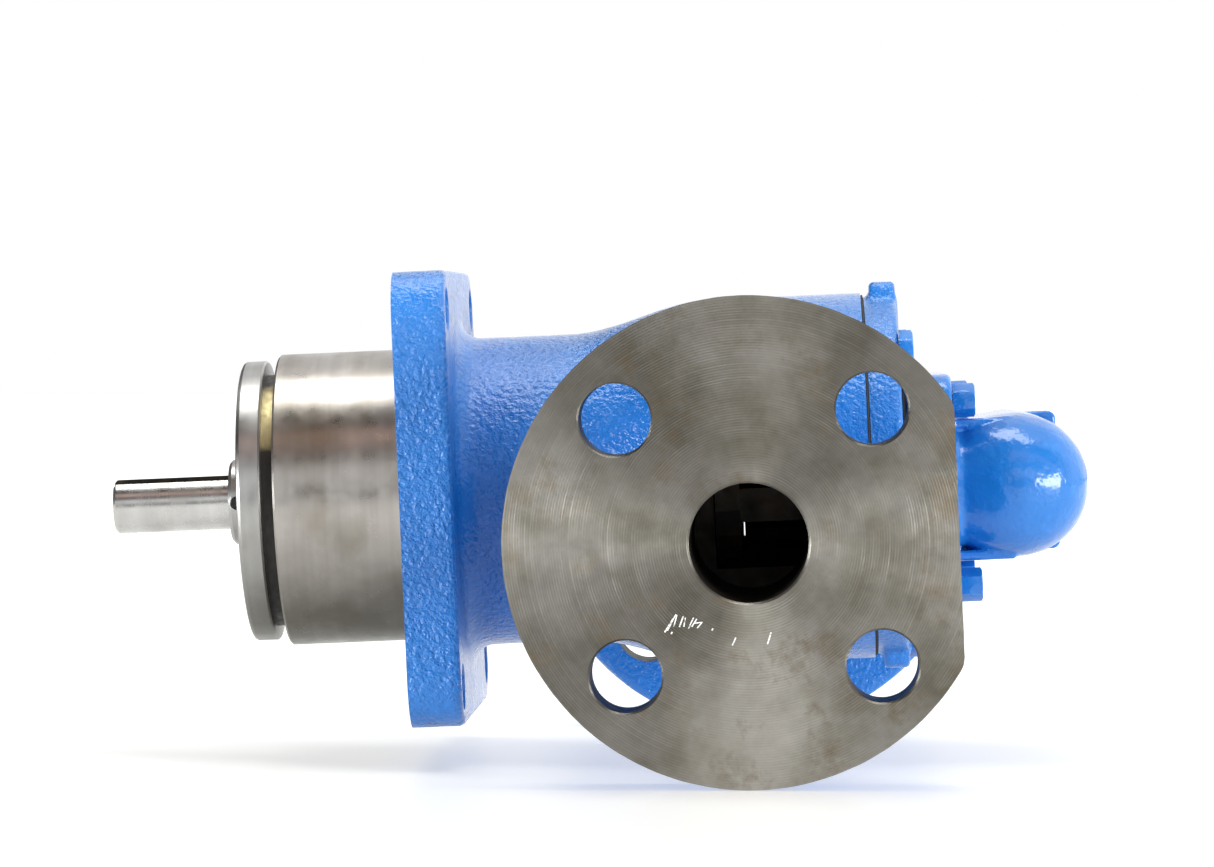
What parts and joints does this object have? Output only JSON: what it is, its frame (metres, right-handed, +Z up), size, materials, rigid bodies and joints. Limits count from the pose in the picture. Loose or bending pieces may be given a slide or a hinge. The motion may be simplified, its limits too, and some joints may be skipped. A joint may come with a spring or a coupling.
{
  "type": "internal gear pump",
  "caption": "Rotary gear pump with a square mounting flange, keyed shaft, opposed flanged side ports and a head-mounted relief valve.",
  "frame": {"origin": "centre of the mounting flange's outer face, on the drive shaft's axis", "axes": "+X along the shaft towards the head and relief valve, +Y towards the far port, +Z up"},
  "size_m": [0.229, 0.1906, 0.117],
  "materials": {
    "blue_paint": "glossy blue enamel over rough casting",
    "machined_iron": "faced and turned, lightly oxidised",
    "turned_steel": "fine turned, satin",
    "bright_steel": "ground and polished",
    "bronze": "machined",
    "carbon_graphite": "matte",
    "ceramic_seat": "lapped",
    "black_steel": "black oxide",
    "black_rubber": "matte",
    "gasket_fibre": "matte"
  },
  "bodies": {
    "housing": {"pump_casing": "blue_paint", "bearing_carrier": "turned_steel", "end_cap": "turned_steel", "lip_seal": "black_rubber", "bearing_outer_race": "bright_steel", "shaft_bushing": "carbon_graphite", "seal_seat": "ceramic_seat", "head_gasket": "gasket_fibre", "head": "blue_paint", "head_bolt_1": "blue_paint", "head_bolt_2": "blue_paint", "head_bolt_3": "blue_paint", "head_bolt_4": "blue_paint", "head_bolt_5": "blue_paint", "idler_pin": "bright_steel", "valve_gasket": "gasket_fibre", "valve_body": "blue_paint", "valve_bonnet": "blue_paint", "lock_nut": "blue_paint", "valve_cap": "blue_paint", "valve_spring": "bright_steel", "valve_bolt_1": "blue_paint", "valve_bolt_2": "blue_paint", "valve_bolt_3": "blue_paint", "valve_bolt_4": "blue_paint"},
    "shaft": {"drive_shaft": "bright_steel", "shaft_collar": "turned_steel", "collar_set_screw": "black_steel", "bearing_inner_race": "bright_steel", "seal_face_ring": "carbon_graphite", "seal_spring": "bright_steel", "rotor": "machined_iron"},
    "ball_cage": {"bearing_balls_and_cage": "bronze"},
    "idler": {"idler_gear": "machined_iron", "idler_bushing": "carbon_graphite"},
    "poppet": {"valve_poppet": "bronze"},
    "seat": {"spring_seat": "bright_steel"},
    "screw": {"adjusting_screw": "bright_steel"}
  },
  "joints": [
    {"name": "shaft_spin", "type": "hinge", "parent": "housing", "child": "shaft", "pos_m": [0, 0, 0], "axis": [1, 0, 0], "continuous": true},
    {"name": "cage_spin", "type": "hinge", "parent": "housing", "child": "ball_cage", "pos_m": [-0.018, 0, 0], "axis": [1, 0, 0], "continuous": true},
    {"name": "idler_spin", "type": "hinge", "parent": "housing", "child": "idler", "pos_m": [0.09, 0, 0.0075], "axis": [1, 0, 0], "continuous": true},
    {"name": "poppet_lift", "type": "slide", "parent": "housing", "child": "poppet", "axis": [0, 1, 0], "range_m": [0, 0.006], "stiffness_N_per_m": 4000, "springref_m": -0.003, "deforming": ["valve_spring"]},
    {"name": "seat_travel", "type": "slide", "parent": "housing", "child": "seat", "axis": [0, -1, 0], "range_m": [0, 0.00375], "deforming": ["valve_spring"]},
    {"name": "screw_turn", "type": "hinge", "parent": "seat", "child": "screw", "pos_m": [0.1412, 0.04, -0.0031], "axis": [0, 1, 0], "range_deg": [0, 1080]}
  ],
  "couplings": [
    {"joint": "cage_spin", "follows": "shaft_spin", "ratio": 0.388},
    {"joint": "idler_spin", "follows": "shaft_spin", "ratio": 1.375},
    {"joint": "screw_turn", "follows": "seat_travel", "rad_per_m": 5026.5}
  ]
}
